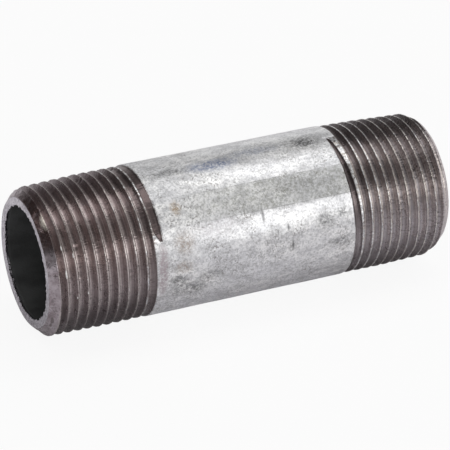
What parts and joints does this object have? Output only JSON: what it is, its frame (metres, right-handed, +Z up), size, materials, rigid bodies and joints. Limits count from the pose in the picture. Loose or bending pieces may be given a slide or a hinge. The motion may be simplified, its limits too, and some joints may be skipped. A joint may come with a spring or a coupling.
{
  "type": "threaded pipe nipple",
  "caption": "Short galvanised steel pipe with a tapered male pipe thread at each end and a plain zinc-coated middle, for joining two female pipe fittings.",
  "frame": {"origin": "centre of the bore at half the nipple's length", "axes": "+X along the bore, from the left threaded end to the right one; +Z up as the nipple lies on its side"},
  "size_m": [0.0762, 0.0268, 0.0268],
  "materials": {
    "cut_steel": "dark oiled steel as the die left it",
    "galvanised_zinc": "weathered hot-dip zinc, satin and mottled",
    "bore_zinc": "dull dark zinc in the bore"
  },
  "bodies": {
    "root": {"steel_pipe": "cut_steel", "zinc_sleeve": "galvanised_zinc", "zinc_bore_lining": "bore_zinc"}
  },
  "joints": []
}
